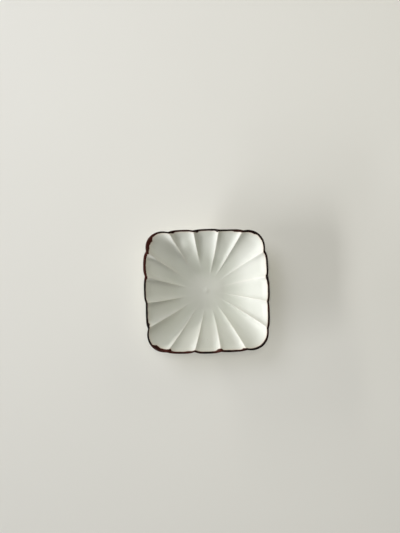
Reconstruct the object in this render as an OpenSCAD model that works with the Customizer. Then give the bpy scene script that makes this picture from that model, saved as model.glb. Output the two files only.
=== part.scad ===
// Fluted square soy sauce dish.
// A pressed porcelain body stands on a foot ring that is luted to its underside.
// White glaze coats it inside and out, and an iron-brown glaze wraps the lip.
// The dish is centred on the z axis and stands on z = 0.

/* [Outline] */
// Width across the lip, from side to side
dish_w = 90; // [75:1:110]
// Overall height, from the table to the tips of the ridges
dish_h = 23; // [19:0.5:30]
// Squareness of the lip, where 2 is a circle
squareness = 5.5; // [3:0.1:8]
// Petals along each side, between the corner petals
side_petals = 3; // [2:1:4]

/* [Flutes] */
// How far a flute sinks below the ridges beside it
flute_depth = 3; // [0.6:0.1:3.4]
// How far the lip draws in at an even ridge
scallop = 0.9; // [0.3:0.1:1.6]
// How far the lip dips between two ridges
lip_wave = 2; // [0:0.1:2.6]
// How far a hand-pressed petal strays from the even outline
hand_stray = 1; // [0:0.1:1.4]
// How far a ridge strays along the lip, as an angle
ridge_stray = 2; // [0:0.5:3]
// Turn of the ridges on their way from the lip to the middle
flute_twist = 3; // [0:0.5:5]

/* [Wall] */
// Thickness of the lip, with its glaze
lip_t = 1.8; // [1.4:0.1:3]
// Lean of the wall at the lip, up from level
lip_lean = 31; // [24:1:40]
// Thickness of the clay floor in the middle of the well
floor_t = 2.6; // [2:0.1:4]
// Thickness of every coat of glaze
glaze_t = 0.35; // [0.2:0.05:0.5]

/* [Lip glaze] */
// How far the brown glaze runs down inside the lip
lip_glaze_in = 0.4; // [0.2:0.1:3]
// How far the brown glaze runs down outside the lip
lip_glaze_out = 2; // [1:0.1:4]

/* [Foot] */
// Width across the foot where it meets the table
foot_w = 42; // [34:1:48]
// Height of the foot ring
foot_h = 4.2; // [3:0.1:6]
// Thickness of the foot ring where it meets the table
foot_land = 2.8; // [2:0.1:4]
// Corner radius of the foot, on its outer edge
foot_corner_r = 13; // [8:0.5:16]
// Draft of the foot's flanks, off upright
foot_draft = 9; // [4:1:14]
// Bevel along the foot's two lower edges
foot_bevel = 0.5; // [0.2:0.1:0.8]

/* [Hidden] */

clay_color = [0.90, 0.87, 0.80];
foot_color = [0.82, 0.76, 0.66];
glaze_color = [0.88, 0.89, 0.84];
iron_color = [0.22, 0.10, 0.07];

// Bare clay left between the foot ring and the glaze beside it
glaze_gap = 0.3;
// Half a corner petal's run along a side, as a share of a side petal's run
corner_share = 0.82;
// Rounding of a ridge, as a share of its petal's width
ridge_round_share = 0.03;
// Flatness of a flute's floor, from 0, evenly round, to 1
flute_flat_share = 0.8;
// Bend from the flat well into the wall: its middle and its half length, as shares of the reach
well_share = 0.42;
bend_share = 0.17;
// Where the flutes start, as a share of the reach
flute_start_share = 0.30;
// Where the flutes start to settle into the wave of the lip
lip_settle_share = 0.90;
// Where a ridge's own crest starts to fade into the lip, as a share of the reach
crest_fade_share = 0.78;
// Bulge of the outside wall, as a share of its rise
wall_bow_share = 0.2;
// Stretch of the outside wall that turns up from the underside
heel_share = 0.25;
// Each petal's own stray, anticlockwise from the one below the right-hand side
petal_stray_shares = [
    0.2, 0.65, 0.45, 0.3, -0.75, 0, -0.15, 1.15, 0.9, 0.55, -0.55, 0.4, -0.1, 0.3, -0.3, 0.65
];
// Each ridge's own stray, anticlockwise from the start of the first petal
ridge_stray_shares = [
    0.4, -0.1, -0.5, -0.2, -0.1, -0.5, -0.5, -0.55, -0.6, -1, -0.9, -0.75, -0.8, -0.4, -0.1, 0.5
];
// How far the lip draws in at each ridge, as a share of an even ridge's
ridge_notch_shares = [1, 0.6, 0.5, 1.5, 1.8, 1.1, 1.2, 1.5, 0.9, 0.6, 0.9, 2.1, 0.9, 1.4, 1, 1.3];
// How high each ridge stands below the lip, as a share of an even ridge's
ridge_crest_shares = [0.75, 0.8, 0.15, 0.3, 1, 1, 1.1, 0.6, 1.05, 1.1, 1.1, 1, 0.85, 1.15, 1, 1];

// Facets along a side petal and along a corner petal, and rings along each face of the wall
side_petal_steps = 6;
corner_petal_steps = 9;
inside_rings = 9;
outside_rings = 5;
lip_arc_steps = 5;
foot_fn = 64;

sides = 4;
quarter = 360 / sides;
half_w = dish_w / 2;
lip_r = lip_t / 2;
body_lip_r = lip_r - glaze_t;
// Run of a side petal, where half of a side is 1
petal_run = 2 / (side_petals + 2 * corner_share);
side_ridges = side_petals + 1;

foot_half = foot_w / 2;
foot_share = foot_half / half_w;
foot_flare = foot_h * tan(foot_draft);
foot_core = foot_half - foot_corner_r;
heel_r = foot_corner_r + foot_flare + glaze_gap;
recess_r = foot_corner_r - foot_land - foot_flare - glaze_gap;

// Heights of the finished faces
under_z = foot_h - glaze_t;
well_z = foot_h + floor_t + glaze_t;
lip_axis_z = dish_h - lip_r;
inside_end_z = lip_axis_z + lip_r * cos(lip_lean);
outside_end_z = lip_axis_z - lip_r * cos(lip_lean);

// Where the brown glaze ends on each face of the wall
inside_stop_share = 1 - lip_glaze_in / half_w;
outside_stop_share = 1 - lip_glaze_out / (half_w - foot_half);

function mix(a, b, k) = a + (b - a) * k;
function clamped(x) = min(1, max(0, x));
function smooth(from, to, x) = let (k = clamped((x - from) / (to - from))) k * k * (3 - 2 * k);

// Swing of a flute: 0 on a ridge, 1 midway between two ridges
function rounded(x) = sqrt(x * x + ridge_round_share * ridge_round_share) - ridge_round_share;
function swing(t) =
    let (off_middle = 1 - rounded(min(t, 1 - t)) / rounded(1 / 2))
    1 - mix(pow(off_middle, 2), pow(off_middle, 4), flute_flat_share);

// A share out of a table, which starts again where there are more ridges or petals than shares
function own_share(shares, k) = shares[k % len(shares)];
function even_ridge(k) =
    quarter * floor(k / side_ridges) + atan(petal_run * (corner_share + k % side_ridges) - 1);
ridge_angles = [
    for (k = [0 : sides * side_ridges - 1])
        even_ridge(k) + ridge_stray * own_share(ridge_stray_shares, k)
];
petals = len(ridge_angles);
function is_corner(petal) = petal % side_ridges == side_petals;
function petal_steps(petal) = is_corner(petal) ? corner_petal_steps : side_petal_steps;
function next_ridge(petal) = petal == petals - 1 ? ridge_angles[0] + 360 : ridge_angles[petal + 1];
function stray(petal) = hand_stray * own_share(petal_stray_shares, petal);
function notch(ridge) = scallop * own_share(ridge_notch_shares, ridge % petals);
function crest(ridge) = own_share(ridge_crest_shares, ridge % petals);

// One meridian of the dish for every facet: its angle, its flute swing, its petal's stray,
// and the notch and the crest of the ridges beside it
meridians = [
    for (petal = [0 : petals - 1], step = [0 : petal_steps(petal) - 1])
        let (t = step / petal_steps(petal))
        [
            mix(ridge_angles[petal], next_ridge(petal), t),
            swing(t),
            stray(petal),
            mix(notch(petal), notch(petal + 1), t),
            mix(crest(petal), crest(petal + 1), t)
        ]
];
function angle_of(m) = m[0];
function swing_of(m) = m[1];
function stray_of(m) = m[2];
function notch_of(m) = m[3];
function crest_of(m) = m[4];

// Reach of the lip's outer edge and of the axis of its round
function powered(x) = pow(abs(x), squareness);
function even_reach(a) = half_w * pow(powered(cos(a)) + powered(sin(a)), -1 / squareness);
function lip_reach(m) = even_reach(angle_of(m)) + mix(-notch_of(m), stray_of(m), swing_of(m));
function axis_reach(m) = lip_reach(m) - lip_r;

// Reach of a rounded square, from its straight core and its corner radius
function corner_reach(core, r, a) =
    core * (cos(a) + sin(a)) + sqrt(r * r - pow(core * (cos(a) - sin(a)), 2));
function rounded_square_reach(core, r, angle) =
    let (a = abs((angle + quarter * (sides + 0.5)) % quarter - quarter / 2))
    (core + r) * tan(a) < core ? (core + r) / cos(a) : corner_reach(core, r, a);

// A point at a reach and a height on a meridian, or turned on from it
function spot(m, reach, z, turn = 0) =
    let (a = angle_of(m) + turn)
    [reach * cos(a), reach * sin(a), z];

// Flute swing at a share of the reach, where each ridge has its own crest until it nears the lip
function dip(m, share) = 1 - mix(crest_of(m), 1, smooth(crest_fade_share, 1, share)) * (1 - swing_of(m));

// Inside face, from the well's middle at s = 0 to the lip at s = 1, and depth below it
function rise(s) =
    let (into = s - well_share + bend_share)
    into <= 0 ? 0
    : s < well_share + bend_share ? into * into / (4 * bend_share * (1 - well_share))
    : (s - well_share) / (1 - well_share);
function inside_lean(s) = atan(tan(lip_lean) * clamped((s - well_share + bend_share) / (2 * bend_share)));
function sink(s, start) =
    mix(flute_depth * clamped((s - start) / (1 - start)), lip_wave, smooth(lip_settle_share, 1, s));
function inside_spot(s, m, depth) =
    let (lean = inside_lean(s), end_reach = axis_reach(m) - lip_r * sin(lip_lean))
    spot(m, s * mix(half_w, end_reach, s) + depth * sin(lean),
        mix(well_z, inside_end_z, rise(s)) - sink(s, flute_start_share) * dip(m, s) - depth * cos(lean),
        flute_twist * (1 - s));

// Outside face, from the heel at the foot at s = 0 to the lip at s = 1, and depth behind it
function outside_spot(s, m, depth) =
    let (
        lean = lip_lean * smooth(0, heel_share, s),
        heel = rounded_square_reach(foot_core, heel_r, angle_of(m)),
        end_reach = axis_reach(m) + lip_r * sin(lip_lean),
        bowed = s + wall_bow_share * s * (1 - s)
    )
    spot(m, mix(heel, end_reach, s) - depth * sin(lean),
        mix(under_z, outside_end_z, bowed) - sink(s, 0) * dip(m, mix(foot_share, 1, s)) + depth * cos(lean));

// Round of the lip, of radius r, from its inside end at s = 0 to its outside end at s = 1
function lip_spot(s, m, r) =
    let (turn = 90 + lip_lean - 180 * s)
    spot(m, axis_reach(m) + r * cos(turn), lip_axis_z - lip_wave * swing_of(m) + r * sin(turn));

function inside_ring(s, depth) = [for (m = meridians) inside_spot(s, m, depth)];
function outside_ring(s, depth) = [for (m = meridians) outside_spot(s, m, depth)];
function lip_ring(s, r) = [for (m = meridians) lip_spot(s, m, r)];
function lip_rings(r) = [for (k = [1 : lip_arc_steps - 1]) lip_ring(k / lip_arc_steps, r)];
function reversed(list) = [for (k = [len(list) - 1 : -1 : 0]) list[k]];

// Shares of the rings on each face, from the edge of the flat to the edge of the white glaze
inside_shares = [
    for (k = [0 : inside_rings - 1])
        mix(well_share - bend_share, inside_stop_share, k / (inside_rings - 1))
];
outside_shares = [for (k = [0 : outside_rings]) outside_stop_share * k / outside_rings];

function inside_face(depth) = [for (s = inside_shares) inside_ring(s, depth)];
function outside_face(depth) = [for (s = outside_shares) outside_ring(s, depth)];

// The lip's section from the white glaze inside, over the lip, to the white glaze outside
function lip_face(depth, r) = concat(
    [inside_ring(inside_stop_share, depth), inside_ring(1, depth)],
    lip_rings(r),
    [outside_ring(1, depth), outside_ring(outside_stop_share, depth)]
);

function flattened(rings) = [for (ring = rings, p = ring) p];
// Two facets between four corners, split along the shorter diagonal, so that faces that touch match
function facets(points, a, b, c, d) =
    norm(points[a] - points[c]) < norm(points[b] - points[d])
    ? [[a, b, c], [a, c, d]]
    : [[a, b, d], [b, c, d]];
function band(points, i, k, n) = [
    for (j = [0 : n - 1])
        let (next = (j + 1) % n)
        each facets(points, i * n + j, i * n + next, k * n + next, k * n + j)
];

// Solid between rings that run out over the top and back underneath, closed at the z axis
module capped_loft(rings, top_z, bottom_z) {
    n = len(rings[0]);
    count = len(rings);
    top = n * count;
    bottom = top + 1;
    last = n * (count - 1);
    points = concat(flattened(rings), [[0, 0, top_z], [0, 0, bottom_z]]);
    polyhedron(
        points = points,
        faces = concat(
            [for (j = [0 : n - 1]) [top, (j + 1) % n, j]],
            [for (i = [0 : count - 2]) each band(points, i, i + 1, n)],
            [for (j = [0 : n - 1]) [bottom, last + j, last + (j + 1) % n]]
        )
    );
}

// Ring-shaped solid between rings that run out over the top and back underneath
module ring_loft(rings) {
    n = len(rings[0]);
    count = len(rings);
    points = flattened(rings);
    polyhedron(
        points = points,
        faces = [for (i = [0 : count - 1]) each band(points, i, (i + 1) % count, n)]
    );
}

// Flat rounded square, from its straight core and its corner radius
module rounded_square(core, r) {
    square([2 * core, 2 * (core + r)], center = true);
    square([2 * (core + r), 2 * core], center = true);
    for (x = [-core, core], y = [-core, core])
        translate([x, y]) circle(r, $fn = foot_fn);
}

// Section of the foot ring, out from the centre of its corner
module foot_section() {
    inner = foot_corner_r - foot_land;
    polygon([
        [inner + foot_bevel, 0],
        [foot_corner_r - foot_bevel, 0],
        [foot_corner_r, foot_bevel],
        [foot_corner_r + foot_flare, foot_h],
        [inner - foot_flare, foot_h],
        [inner, foot_bevel]
    ]);
}

module dish_body() {
    color(clay_color)
        capped_loft(
            concat(
                inside_face(glaze_t),
                [inside_ring(1, glaze_t)],
                lip_rings(body_lip_r),
                [outside_ring(1, glaze_t)],
                reversed(outside_face(glaze_t))
            ),
            well_z - glaze_t,
            foot_h
        );
}

module foot_ring() {
    color(foot_color)
        for (side = [0 : sides - 1])
            rotate([0, 0, quarter * side])
                translate([foot_core, foot_core, 0]) {
                    rotate_extrude(angle = quarter, $fn = foot_fn) foot_section();
                    rotate([90, 0, 0]) linear_extrude(2 * foot_core) foot_section();
                }
}

module inside_glaze() {
    color(glaze_color)
        capped_loft(
            concat(inside_face(0), reversed(inside_face(glaze_t))),
            well_z,
            well_z - glaze_t
        );
}

module outside_glaze() {
    color(glaze_color) {
        ring_loft(concat(outside_face(glaze_t), reversed(outside_face(0))));
        translate([0, 0, under_z]) linear_extrude(glaze_t) rounded_square(foot_core, recess_r);
    }
}

module lip_glaze() {
    color(iron_color)
        ring_loft(concat(lip_face(0, lip_r), reversed(lip_face(glaze_t, body_lip_r))));
}

dish_body();
foot_ring();
inside_glaze();
outside_glaze();
lip_glaze();
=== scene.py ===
"""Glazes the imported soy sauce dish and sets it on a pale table. Lengths are in metres, angles in radians."""

import math

import bpy
import numpy as np
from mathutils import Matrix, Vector, noise


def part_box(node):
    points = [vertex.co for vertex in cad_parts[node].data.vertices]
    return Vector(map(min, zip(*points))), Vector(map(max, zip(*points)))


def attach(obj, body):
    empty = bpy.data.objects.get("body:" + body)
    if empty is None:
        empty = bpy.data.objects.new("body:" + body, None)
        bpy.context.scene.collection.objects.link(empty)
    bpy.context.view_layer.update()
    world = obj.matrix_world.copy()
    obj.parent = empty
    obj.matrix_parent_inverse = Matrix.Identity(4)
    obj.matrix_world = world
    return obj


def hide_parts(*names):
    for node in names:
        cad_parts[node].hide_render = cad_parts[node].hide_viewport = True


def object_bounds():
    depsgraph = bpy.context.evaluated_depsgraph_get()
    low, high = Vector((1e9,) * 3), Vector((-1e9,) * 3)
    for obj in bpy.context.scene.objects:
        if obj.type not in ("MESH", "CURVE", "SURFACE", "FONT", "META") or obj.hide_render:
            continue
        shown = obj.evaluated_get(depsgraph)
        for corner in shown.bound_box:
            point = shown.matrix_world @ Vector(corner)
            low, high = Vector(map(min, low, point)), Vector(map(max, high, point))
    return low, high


bl_info = {
    "name": "Fluted Soy Sauce Dish",
    "version": (1, 0, 0),
    "blender": (4, 5, 0),
    "location": "3D View > Sidebar > Soy Dish",
    "description": "Glazes a fluted square soy sauce dish on its packed frame and sets it on a table",
    "category": "Object",
}

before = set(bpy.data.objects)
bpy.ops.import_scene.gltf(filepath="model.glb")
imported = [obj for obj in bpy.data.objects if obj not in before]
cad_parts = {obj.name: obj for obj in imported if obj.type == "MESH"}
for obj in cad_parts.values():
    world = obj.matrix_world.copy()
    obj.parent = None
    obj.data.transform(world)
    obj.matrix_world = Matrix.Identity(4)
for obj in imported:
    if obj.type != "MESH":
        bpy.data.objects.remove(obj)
CAD_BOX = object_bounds()

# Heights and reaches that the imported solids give
FOOT_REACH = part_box("foot_ring")[1].x
FOOT_TOP_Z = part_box("foot_ring")[1].z
UNDERSIDE_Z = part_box("outside_glaze")[0].z
CLAY_FLOOR_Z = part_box("inside_glaze")[0].z
LIP_TOP_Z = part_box("lip_glaze")[1].z
GLAZE_DEPTH = FOOT_TOP_Z - UNDERSIDE_Z

SIDES = 4
FULL_TURN = 2 * math.pi
QUARTER = FULL_TURN / SIDES

# Shares of the reach from the dish's middle to its lip: the first ring of points, the well, the bend to each
# side of its edge, where the glaze's underside begins, and where ridges and flutes pass into the lip
FIRST_RING_SHARE = 0.008
WELL_SHARE = 0.42
BEND_SHARE = 0.145
UNDER_GLAZE_SHARE = WELL_SHARE - BEND_SHARE
CREST_FADE_SHARE = 0.78
LIP_SETTLE_SHARE = 0.90
# Share of the reach over which a flute begins to sink, and how much sooner than evenly it sinks on its way
FLUTE_EASE_SHARE = 0.16
FLUTE_HASTE_SHARE = 0.25
# How far the outside wall bows, as a share of its height, and the share of it that leans out from the heel
WALL_BOW_SHARE = 0.2
HEEL_SHARE = 0.25
# Rounding of a ridge, as a share of its petal's width, and how flat a flute's floor is
RIDGE_ROUND_SHARE = 0.03
FLUTE_FLAT_SHARE = 0.8

# Each petal's own stray, anticlockwise from the lowest one on the right-hand side
PETAL_STRAY_SHARES = (
    0.2, 0.65, 0.45, 0.3, -0.75, 0, -0.15, 1.15, 0.9, 0.55, -0.55, 0.4, -0.1, 0.3, -0.3, 0.65
)
# How deep each petal is pressed, as a share of an even one, and how far its floor rolls over to one side
PETAL_DEPTH_SHARES = (0.95, 0.95, 0.95, 1, 0.95, 1.1, 1.35, 1.45, 1.15, 1, 0.9, 1.05, 0.9, 1, 1.05, 1.3)
PETAL_ROLL_SHARES = (
    0.15, 0.15, 0, 0.45, 0.55, -0.2, -0.5, 0.3, 0, -0.1, 0, -0.4, 0.3, -0.1, -0.2, -0.65
)
# Each ridge's own stray along the lip, anticlockwise from the first petal's start
RIDGE_STRAY_SHARES = (
    -0.3, -0.1, -0.5, -0.2, -0.1, -0.5, -0.5, -0.55, -0.6, -1, -0.9, -0.75, -0.8, -0.4, -0.3, -0.2
)
# How far the lip draws in at each ridge, as a share of an even ridge's
RIDGE_NOTCH_SHARES = (1, 0.6, 0.5, 1.5, 1.8, 1.1, 1.2, 1.5, 0.9, 0.6, 0.9, 2.1, 0.9, 1.4, 1, 1.3)
# How high each ridge stands below the lip, as a share of an even ridge's
RIDGE_CREST_SHARES = (0.75, 0.8, 0.15, 0.3, 1, 1, 1.1, 0.35, 0.75, 1.1, 1.1, 1, 0.85, 1.15, 1, 1)
# How far each ridge turns on its way in, as a share of an even ridge's
RIDGE_TURN_SHARES = (1.6, 1, 1.5, 1.5, -0.5, -0.75, 0.5, 1, 1, 1, 1.7, 1.5, 1.5, 1.75, 2.3, 1.5)
# Share of the reach at which each ridge begins to stand out of the well
RIDGE_START_SHARES = (
    0.22, 0.20, 0.20, 0.22, 0.24, 0.20, 0.42, 0.42, 0.40, 0.26, 0.33, 0.30, 0.27, 0.27, 0.30, 0.26
)

# Where the hand left a lump or a hollow inside: angle in degrees, share of the reach, spread, rise
HAND_LUMPS = (
    (112.0, 0.80, 0.0035, 0.0008),
    (112.0, 0.62, 0.0040, -0.0005),
    (130.0, 0.84, 0.0045, 0.0008),
    (131.0, 0.64, 0.0060, -0.0009),
    (86.0, 0.48, 0.0060, 0.0007),
    (0.0, 0.14, 0.0060, 0.0003),
)
# Small drift of every face: waves per metre of a broad and a fine field, the fine one's share, the seed
WOBBLE_WAVES = 70
RIPPLE_WAVES = 190
RIPPLE_SHARE = 1 / 3
WOBBLE_SEED = 5
FOOT_WOBBLE_SHARE = 0.6
FOOT_POOL_WOBBLE_SHARE = 0.5

# Where the brush left more iron glaze inside the lip: start and end in degrees, share of the widest mark
BRUSH_MARKS = (
    (8.0, 13.0, 0.25),
    (47.0, 64.0, 0.40),
    (77.4, 79.2, 0.45),
    (96.4, 98.6, 0.70),
    (99.0, 104.0, 0.15),
    (117.6, 120.0, 0.40),
    (135.0, 146.8, 0.85),
    (147.4, 168.0, 0.45),
    (208.2, 210.0, 0.45),
    (224.6, 228.4, 0.90),
    (228.4, 237.6, 0.70),
    (236.0, 237.6, 0.40),
    (238.0, 254.0, 0.20),
    (277.8, 283.4, 0.65),
    (299.8, 301.4, 0.30),
)
BRUSH_SOFTNESS = 0.8
# Where the iron glaze fired rust-red: start and end in degrees, share of the reddest
RUST_MARKS = (
    (92, 122, 0.45),
    (130, 170, 1.0),
    (224, 256, 0.8),
    (277, 285, 0.9),
    (318, 345, 0.35),
)
RUST_SOFTNESS = 4.0
# How the brown band's edges waver round the lip, down to a least width: share of the width, waves, seed
BAND_IN_WAVERS = ((0.9, 3, 1.3), (0.7, 14, 4.1))
BRUSH_WAVERS = ((0.30, 26, 7.7), (0.25, 60, 2.9))
BAND_OUT_WAVERS = ((0.35, 4, 11.2), (0.2, 22, 5.5))
BAND_LEAST_SHARE = 0.3
# Distance over which the iron glaze thickens from its edge, and over which it stains the white glaze
IRON_EDGE = 0.00025
INSIDE_STAIN = 0.0004
OUTSIDE_STAIN = 0.0005

# White glaze inside: where flutes are full, how far it pools about the bend, shares of the thickest pool
FLUTE_FULL_SHARE = 0.6
BEND_SPREAD_SHARE = 0.2
BEND_POOL_SHARE = 0.35
BEND_FLUTE_POOL_SHARE = 0.4
FLUTE_POOL_SHARE = 0.2
# Powers of the swing by which the glaze thins on a ridge, pools in a flute and thins on a petal's back
RIDGE_THIN_POWER = 4
FLUTE_POOL_POWER = 2
BACK_THIN_POWER = 3
# White glaze outside: how it thins over a petal's back from the heel up, and pools at heel and foot
BACK_THIN_SHARE = 0.5
BACK_THIN_START_SHARE = 0.2
BACK_THIN_END_SHARE = 0.8
HEEL_POOL_SHARE = 0.5
HEEL_POOL_END_SHARE = 0.3
FOOT_POOL_SHARE = 0.4
FOOT_FLANK_POOL_SHARE = 0.3
# Glaze inside the foot ring: its round edge as a share of its depth, and its innermost ring
FOOT_POOL_ROUND_SHARE = 0.9
FOOT_POOL_MIDDLE_SHARE = 0.04

# Noises of the finishes: scale per metre, detail, roughness
GLAZE_CLOUDS = (55, 3, 0.5)
GLAZE_FLECKS = (700, 3, 0.6)
GLAZE_SHEEN = (130, 4, 0.5)
GLAZE_SWELL = (150, 2, 0.5)
GLAZE_SKIN = (1500, 2, 0.5)
IRON_CLOUDS = (150, 3, 0.5)
IRON_CRYSTALS = (1300, 3, 0.6)
CLAY_CLOUDS = (120, 3, 0.5)
CLAY_GRAIN = (2600, 3, 0.65)
DIP_LINE = (130, 2, 0.5)
TABLE_CLOUDS = (9, 3, 0.5)
TABLE_GRAIN = (900, 3, 0.5)
# Passages from a noise, distance or height to a share or roughness: from low, from high, to low, to high
CLOUDS_TO_POOL = (0.35, 0.75, -0.15, 0.35)
FLECKS_TO_THIN = (0.55, 0.85, 0.0, 0.12)
DISTANCE_TO_SPECK = (0.025, 0.06, 0.55, 0.0)
SHEEN_TO_ROUGHNESS = (0.3, 0.7, 0.50, 0.62)
CLOUDS_TO_RUST = (0.3, 0.75, -0.35, 0.35)
CRYSTALS_TO_RUST = (0.5, 0.75, 0.0, 0.35)
CLOUDS_TO_ROUGHNESS = (0.3, 0.7, 0.22, 0.42)
CLOUDS_TO_TOAST = (0.3, 0.7, 0.35, 1.0)
GRAIN_TO_DARK = (0.52, 0.72, 0.0, 0.28)
HEIGHT_TO_GLAZED = (0.00035, 0.00050, 0.0, 1.0)
HEIGHT_TO_TOASTED = (-0.0003, 0.00045, 0.0, 1.0)
CLOUDS_TO_SHADE = (0.3, 0.7, 0.0, 0.5)
# Shares of one finish in another
SKIN_SHARE = 0.12
STAIN_SHARE = 0.35
EDGE_RUST_SHARE = 0.5
CRYSTAL_RELIEF_SHARE = 0.2
GRAIN_RELIEF_SHARE = 0.6
BODY_TOAST_SHARE = 0.8
FOOT_GLAZE_RELIEF_SHARE = 1.5
FOOT_CLAY_RELIEF_SHARE = 0.5
TABLE_SHADE_SHARE = 0.985
# Iron specks in the white glaze: cells per metre, the share of cells without one, and their colour
SPECK_CELLS = 210.0
SPECK_FREE_SHARE = 0.86
SPECK_COLOUR = (0.30, 0.22, 0.14)
# Dark grain in the bare clay
GRAIN_COLOUR = (0.34, 0.26, 0.18)
# How far the line to which the foot was dipped rises and falls
DIP_LINE_RISE = 0.0012
# Depths of relief, roughnesses, and levels of the mirror-like reflection
GLAZE_RELIEF = 0.00006
IRON_RELIEF = 0.00008
CLAY_RELIEF = 0.00005
TABLE_RELIEF = 0.00002
BARE_ROUGHNESS = 0.8
DIPPED_ROUGHNESS = 0.42
TABLE_ROUGHNESS = 0.75
PLAIN_MIRROR = 0.5
GLAZE_MIRROR = 0.35
IRON_MIRROR = 0.06
TABLE_MIRROR = 0.2

# Soft lamps round the dish: name, azimuth and elevation in degrees, distance, slide along its wall, width,
# height, level, warmth
LAMPS = (
    ("window_front", 180, 13.5, 6.0, 6.2, 5.6, 0.31, 0.75, 0.2),
    ("window_left", 180, 18.5, 6.0, 2.2, 4.4, 0.50, 0.73, 0.4),
    ("window_back", 180, 16.5, 6.0, -6.2, 5.6, 0.31, 0.71, 0.7),
    ("window_low", 180, 8.0, 6.0, 0.0, 4.0, 0.34, 0.31, 0.0),
    ("overhead", 90, 84.0, 0.9, 0.0, 0.4, 0.4, 0.39, 0.8),
    ("back_left", 135, 45.0, 0.9, 0.0, 0.5, 0.5, 0.31, 0.1),
    ("back_right", 45, 20.0, 0.9, 0.0, 0.5, 0.4, 0.13, 1.1),
)
# Camera's sensor in millimetres, and how near it can see
SENSOR_WIDTH = 36.0
NEAREST_SIGHT = 0.01

# Fineness of the meshes, how far meridians crowd towards the ridges, and the bend that stays a sharp edge
SIDE_STEPS = 26
CORNER_STEPS = 36
CROWDING = 0.72
INSIDE_RINGS = 76
BACK_RINGS = 16
OUTSIDE_RINGS = 40
LIP_STEPS = 16
BAND_RINGS = 8
FOOT_CORNER_STEPS = 20
FOOT_RUN_STEPS = 12
FOOT_EDGE_STEPS = 6
FOOT_FLANK_STEPS = 8
FOOT_POOL_EDGE_STEPS = 5
FOOT_POOL_RINGS = 13
TABLE_STEPS = 120
SHARP_ANGLE = math.radians(50)

# Sockets of a Mix node that hold its two colours and its result
MIX_FIRST = 6
MIX_SECOND = 7
MIX_RESULT = 2


class DishSizes(bpy.types.PropertyGroup):
    """Sizes of the dish itself."""

    width: bpy.props.FloatProperty(
        name="Width", description="Width across the lip", default=0.09, unit="LENGTH"
    )
    squareness: bpy.props.FloatProperty(
        name="Squareness", description="Power of the lip's outline, where 2 is a circle", default=5.5
    )
    side_petals: bpy.props.IntProperty(
        name="Side Petals", description="Petals along each side, between the corner petals", default=3
    )
    corner_share: bpy.props.FloatProperty(
        name="Corner Share",
        description="Half a corner petal's run along a side, as a share of a side petal's",
        default=0.82,
    )
    ridge_stray: bpy.props.FloatProperty(
        name="Ridge Stray",
        description="How far a ridge strays along the lip",
        default=math.radians(2),
        subtype="ANGLE",
    )
    flute_twist: bpy.props.FloatProperty(
        name="Flute Twist",
        description="Turn of the ridges from the lip in to the middle",
        default=math.radians(3),
        subtype="ANGLE",
    )
    flute_depth: bpy.props.FloatProperty(
        name="Flute Depth",
        description="How far a flute sinks below its ridges",
        default=0.0030,
        unit="LENGTH",
    )
    scallop: bpy.props.FloatProperty(
        name="Scallop", description="How far the lip draws in at an even ridge", default=0.0009, unit="LENGTH"
    )
    lip_wave: bpy.props.FloatProperty(
        name="Lip Wave", description="How far the lip dips between ridges", default=0.0020, unit="LENGTH"
    )
    hand_stray: bpy.props.FloatProperty(
        name="Hand Stray",
        description="How far a petal strays from the even outline",
        default=0.0010,
        unit="LENGTH",
    )
    dome_height: bpy.props.FloatProperty(
        name="Dome Height",
        description="Rise of the well's floor towards its middle",
        default=0.00035,
        unit="LENGTH",
    )
    dome_radius: bpy.props.FloatProperty(
        name="Dome Radius",
        description="Radius of the rise of the well's floor",
        default=0.0090,
        unit="LENGTH",
    )
    nub_height: bpy.props.FloatProperty(
        name="Nub Height",
        description="Height of the small rise at the well's middle",
        default=0.00045,
        unit="LENGTH",
    )
    nub_radius: bpy.props.FloatProperty(
        name="Nub Radius",
        description="Radius of the small rise at the well's middle",
        default=0.0017,
        unit="LENGTH",
    )
    lip_thickness: bpy.props.FloatProperty(
        name="Lip Thickness", description="Thickness of the lip with its glaze", default=0.0018, unit="LENGTH"
    )
    lip_lean: bpy.props.FloatProperty(
        name="Lip Lean", description="Lean of the wall at the lip", default=math.radians(31), subtype="ANGLE"
    )
    wobble: bpy.props.FloatProperty(
        name="Wobble", description="How far the hand-made faces stray", default=0.00010, unit="LENGTH"
    )


class FootSizes(bpy.types.PropertyGroup):
    """Sizes of the foot ring."""

    land: bpy.props.FloatProperty(
        name="Land", description="Thickness of the ring at the table", default=0.0028, unit="LENGTH"
    )
    corner: bpy.props.FloatProperty(
        name="Corner", description="Corner radius of the ring's outer edge", default=0.013, unit="LENGTH"
    )
    draft: bpy.props.FloatProperty(
        name="Draft", description="Draft of the ring's flanks", default=math.radians(9), subtype="ANGLE"
    )
    edge_round: bpy.props.FloatProperty(
        name="Edge Round", description="Rounding of the lower edges", default=0.0006, unit="LENGTH"
    )
    glaze_gap: bpy.props.FloatProperty(
        name="Glaze Gap", description="Bare clay between ring and glaze", default=0.0003, unit="LENGTH"
    )


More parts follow.
